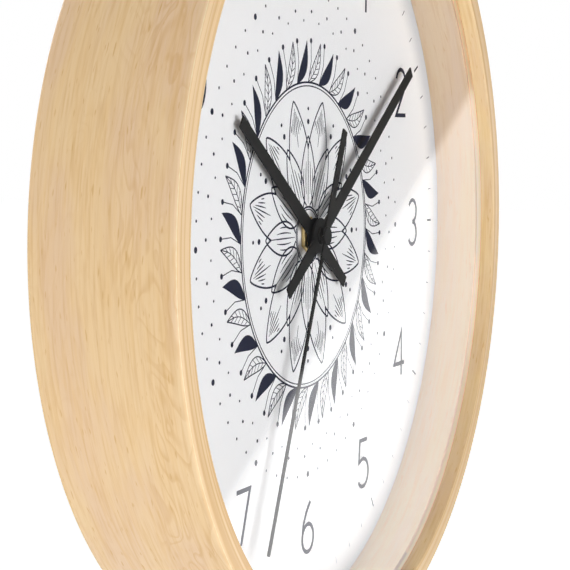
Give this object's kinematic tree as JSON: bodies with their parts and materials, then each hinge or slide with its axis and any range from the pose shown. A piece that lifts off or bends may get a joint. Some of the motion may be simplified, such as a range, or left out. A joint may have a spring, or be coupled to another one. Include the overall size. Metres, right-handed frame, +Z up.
{
  "type": "wall clock",
  "caption": "Round wall clock with a deep bentwood frame, clear lens, printed dial, black hands and a battery quartz movement behind the dial.",
  "frame": {"origin": "on the axis of the hands, in the plane of the wall that the frame's rear rim bears on", "axes": "+Z up, +Y into the wall, so the dial faces -Y; +X to the right of a person who reads the dial"},
  "size_m": [0.254, 0.043, 0.254],
  "materials": {
    "maple": "satin",
    "acrylic": "gloss",
    "dial_card": "matte",
    "hardboard": "matte",
    "steel": "satin",
    "rubber": "matte",
    "brass": "satin",
    "case_plastic": "matte",
    "wheel_plastic": "satin",
    "battery_wrap": "satin",
    "circuit": "satin",
    "copper": "satin",
    "magnet": "satin",
    "hand_paint": "matte"
  },
  "bodies": {
    "case": {"frame_ring": "maple", "lens": "acrylic", "spacer_ring": "maple", "dial": "dial_card", "back_board": "hardboard", "retaining_tab_1": "steel", "retaining_tab_2": "steel", "retaining_tab_3": "steel", "retaining_tab_4": "steel", "retaining_tab_5": "steel", "retaining_tab_6": "steel", "hanger_plate": "steel", "rubber_washer": "rubber", "shaft_bushing": "brass", "shaft_nut": "brass", "front_case": "case_plastic", "rear_cover": "case_plastic", "cover_screw_1": "steel", "cover_screw_2": "steel", "cover_screw_3": "steel", "cover_screw_4": "steel", "train_bridge": "wheel_plastic", "battery": "battery_wrap", "positive_contact": "steel", "negative_contact": "steel", "circuit_board": "circuit", "quartz_crystal": "steel", "stator": "steel", "coil_core": "steel", "coil_bobbin": "case_plastic", "coil_winding": "copper"},
    "minute": {"minute_hand": "hand_paint", "minute_shaft": "brass", "center_wheel": "wheel_plastic"},
    "hour": {"hour_hand": "hand_paint", "hour_wheel": "wheel_plastic"},
    "second": {"second_hand": "hand_paint", "seconds_wheel": "wheel_plastic"},
    "third": {"third_wheel": "wheel_plastic"},
    "intermediate": {"intermediate_wheel": "wheel_plastic"},
    "rotor": {"rotor_pinion": "wheel_plastic", "rotor_magnet": "magnet"},
    "setting": {"minute_wheel": "wheel_plastic", "setting_knob": "wheel_plastic"}
  },
  "joints": [
    {"name": "minute_turn", "type": "hinge", "parent": "case", "child": "minute", "pos_m": [0, -0.021, 0], "axis": [0, 1, 0], "continuous": true},
    {"name": "hour_turn", "type": "hinge", "parent": "case", "child": "hour", "pos_m": [0, -0.021, 0], "axis": [0, 1, 0], "continuous": true},
    {"name": "second_turn", "type": "hinge", "parent": "case", "child": "second", "pos_m": [0, -0.021, 0], "axis": [0, 1, 0], "continuous": true},
    {"name": "third_turn", "type": "hinge", "parent": "case", "child": "third", "pos_m": [0.01063, -0.0105, 0.00285], "axis": [0, 1, 0], "continuous": true},
    {"name": "intermediate_turn", "type": "hinge", "parent": "case", "child": "intermediate", "pos_m": [0.00285, -0.0105, 0.01063], "axis": [0, 1, 0], "continuous": true},
    {"name": "rotor_turn", "type": "hinge", "parent": "case", "child": "rotor", "pos_m": [0.01046, -0.0105, 0.01418], "axis": [0, 1, 0], "continuous": true},
    {"name": "setting_turn", "type": "hinge", "parent": "case", "child": "setting", "pos_m": [-0.00778, -0.0105, 0.00778], "axis": [0, 1, 0], "continuous": true}
  ],
  "couplings": [
    {"joint": "hour_turn", "follows": "minute_turn", "ratio": 0.083333},
    {"joint": "second_turn", "follows": "minute_turn", "ratio": 60},
    {"joint": "third_turn", "follows": "minute_turn", "ratio": -8},
    {"joint": "intermediate_turn", "follows": "minute_turn", "ratio": -300},
    {"joint": "rotor_turn", "follows": "minute_turn", "ratio": 1800},
    {"joint": "setting_turn", "follows": "minute_turn", "ratio": -0.33333}
  ]
}
